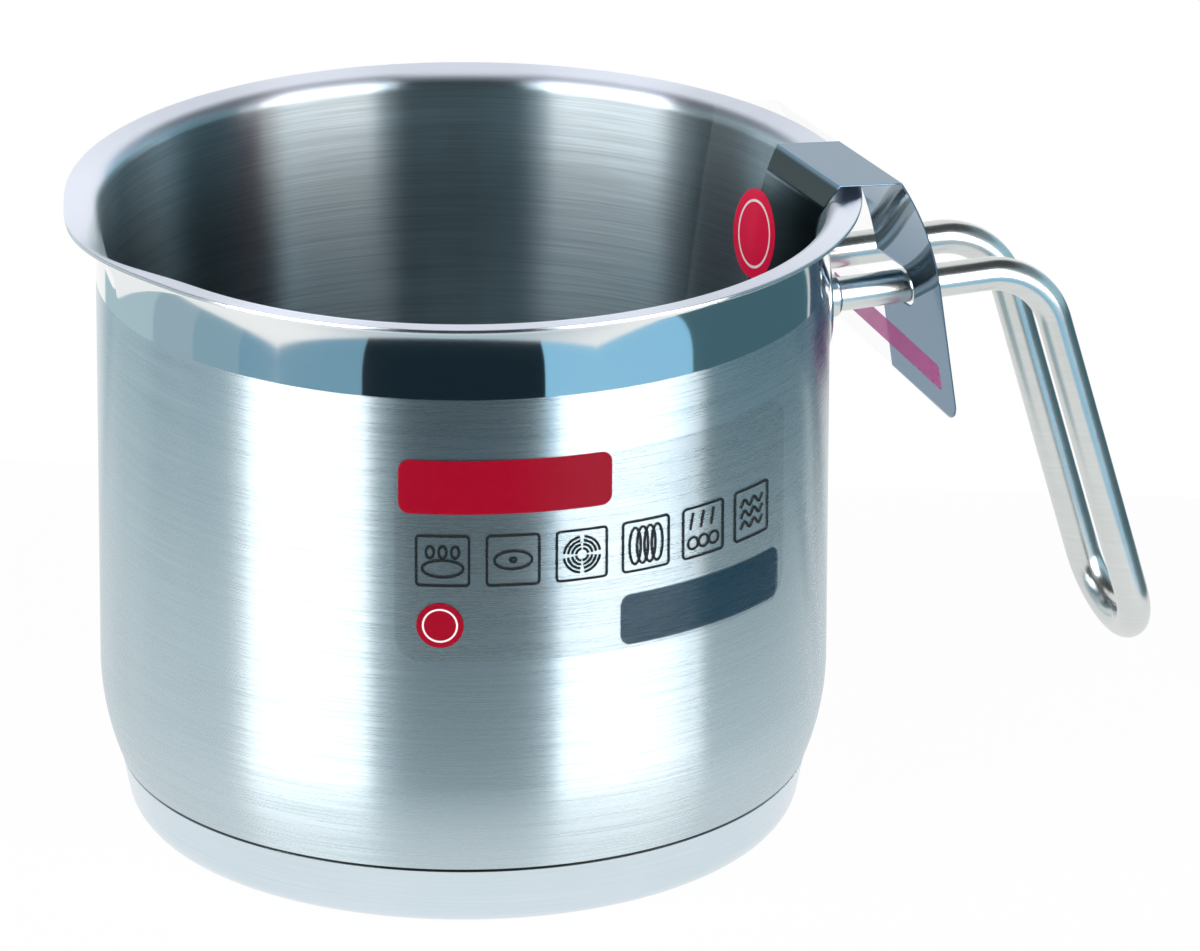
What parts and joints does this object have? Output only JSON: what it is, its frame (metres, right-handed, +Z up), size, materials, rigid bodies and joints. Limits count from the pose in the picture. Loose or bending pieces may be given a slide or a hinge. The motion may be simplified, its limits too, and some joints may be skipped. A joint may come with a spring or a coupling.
{
  "type": "milk pan",
  "caption": "Deep round steel milk pan with a flared lip, a pouring spout opposite its bent-rod loop handle and a capped heat-spreading base, with a clear wall label and a film tag over the rim.",
  "frame": {"origin": "centre of the base cap's flat underside, on the vessel's axis", "axes": "+Z up along the vessel's axis, +X out along the handle, -Y towards the label"},
  "size_m": [0.2232, 0.1536, 0.1285],
  "materials": {
    "vessel_steel": "brushed round the wall, mirror polished near the lip",
    "cap_steel": "satin polished",
    "handle_steel": "polished",
    "core_aluminium": "plain, sealed inside",
    "label_film": "clear film with plain printed blocks",
    "tag_film": "glossy film, half tinted and half clear"
  },
  "bodies": {
    "root": {"vessel_shell": "vessel_steel", "base_core": "core_aluminium", "base_cap": "cap_steel", "handle_plate": "handle_steel", "handle_collar_near": "handle_steel", "handle_collar_far": "handle_steel", "handle_rod": "handle_steel", "label_film": "label_film", "sale_tag": "tag_film"}
  },
  "joints": []
}
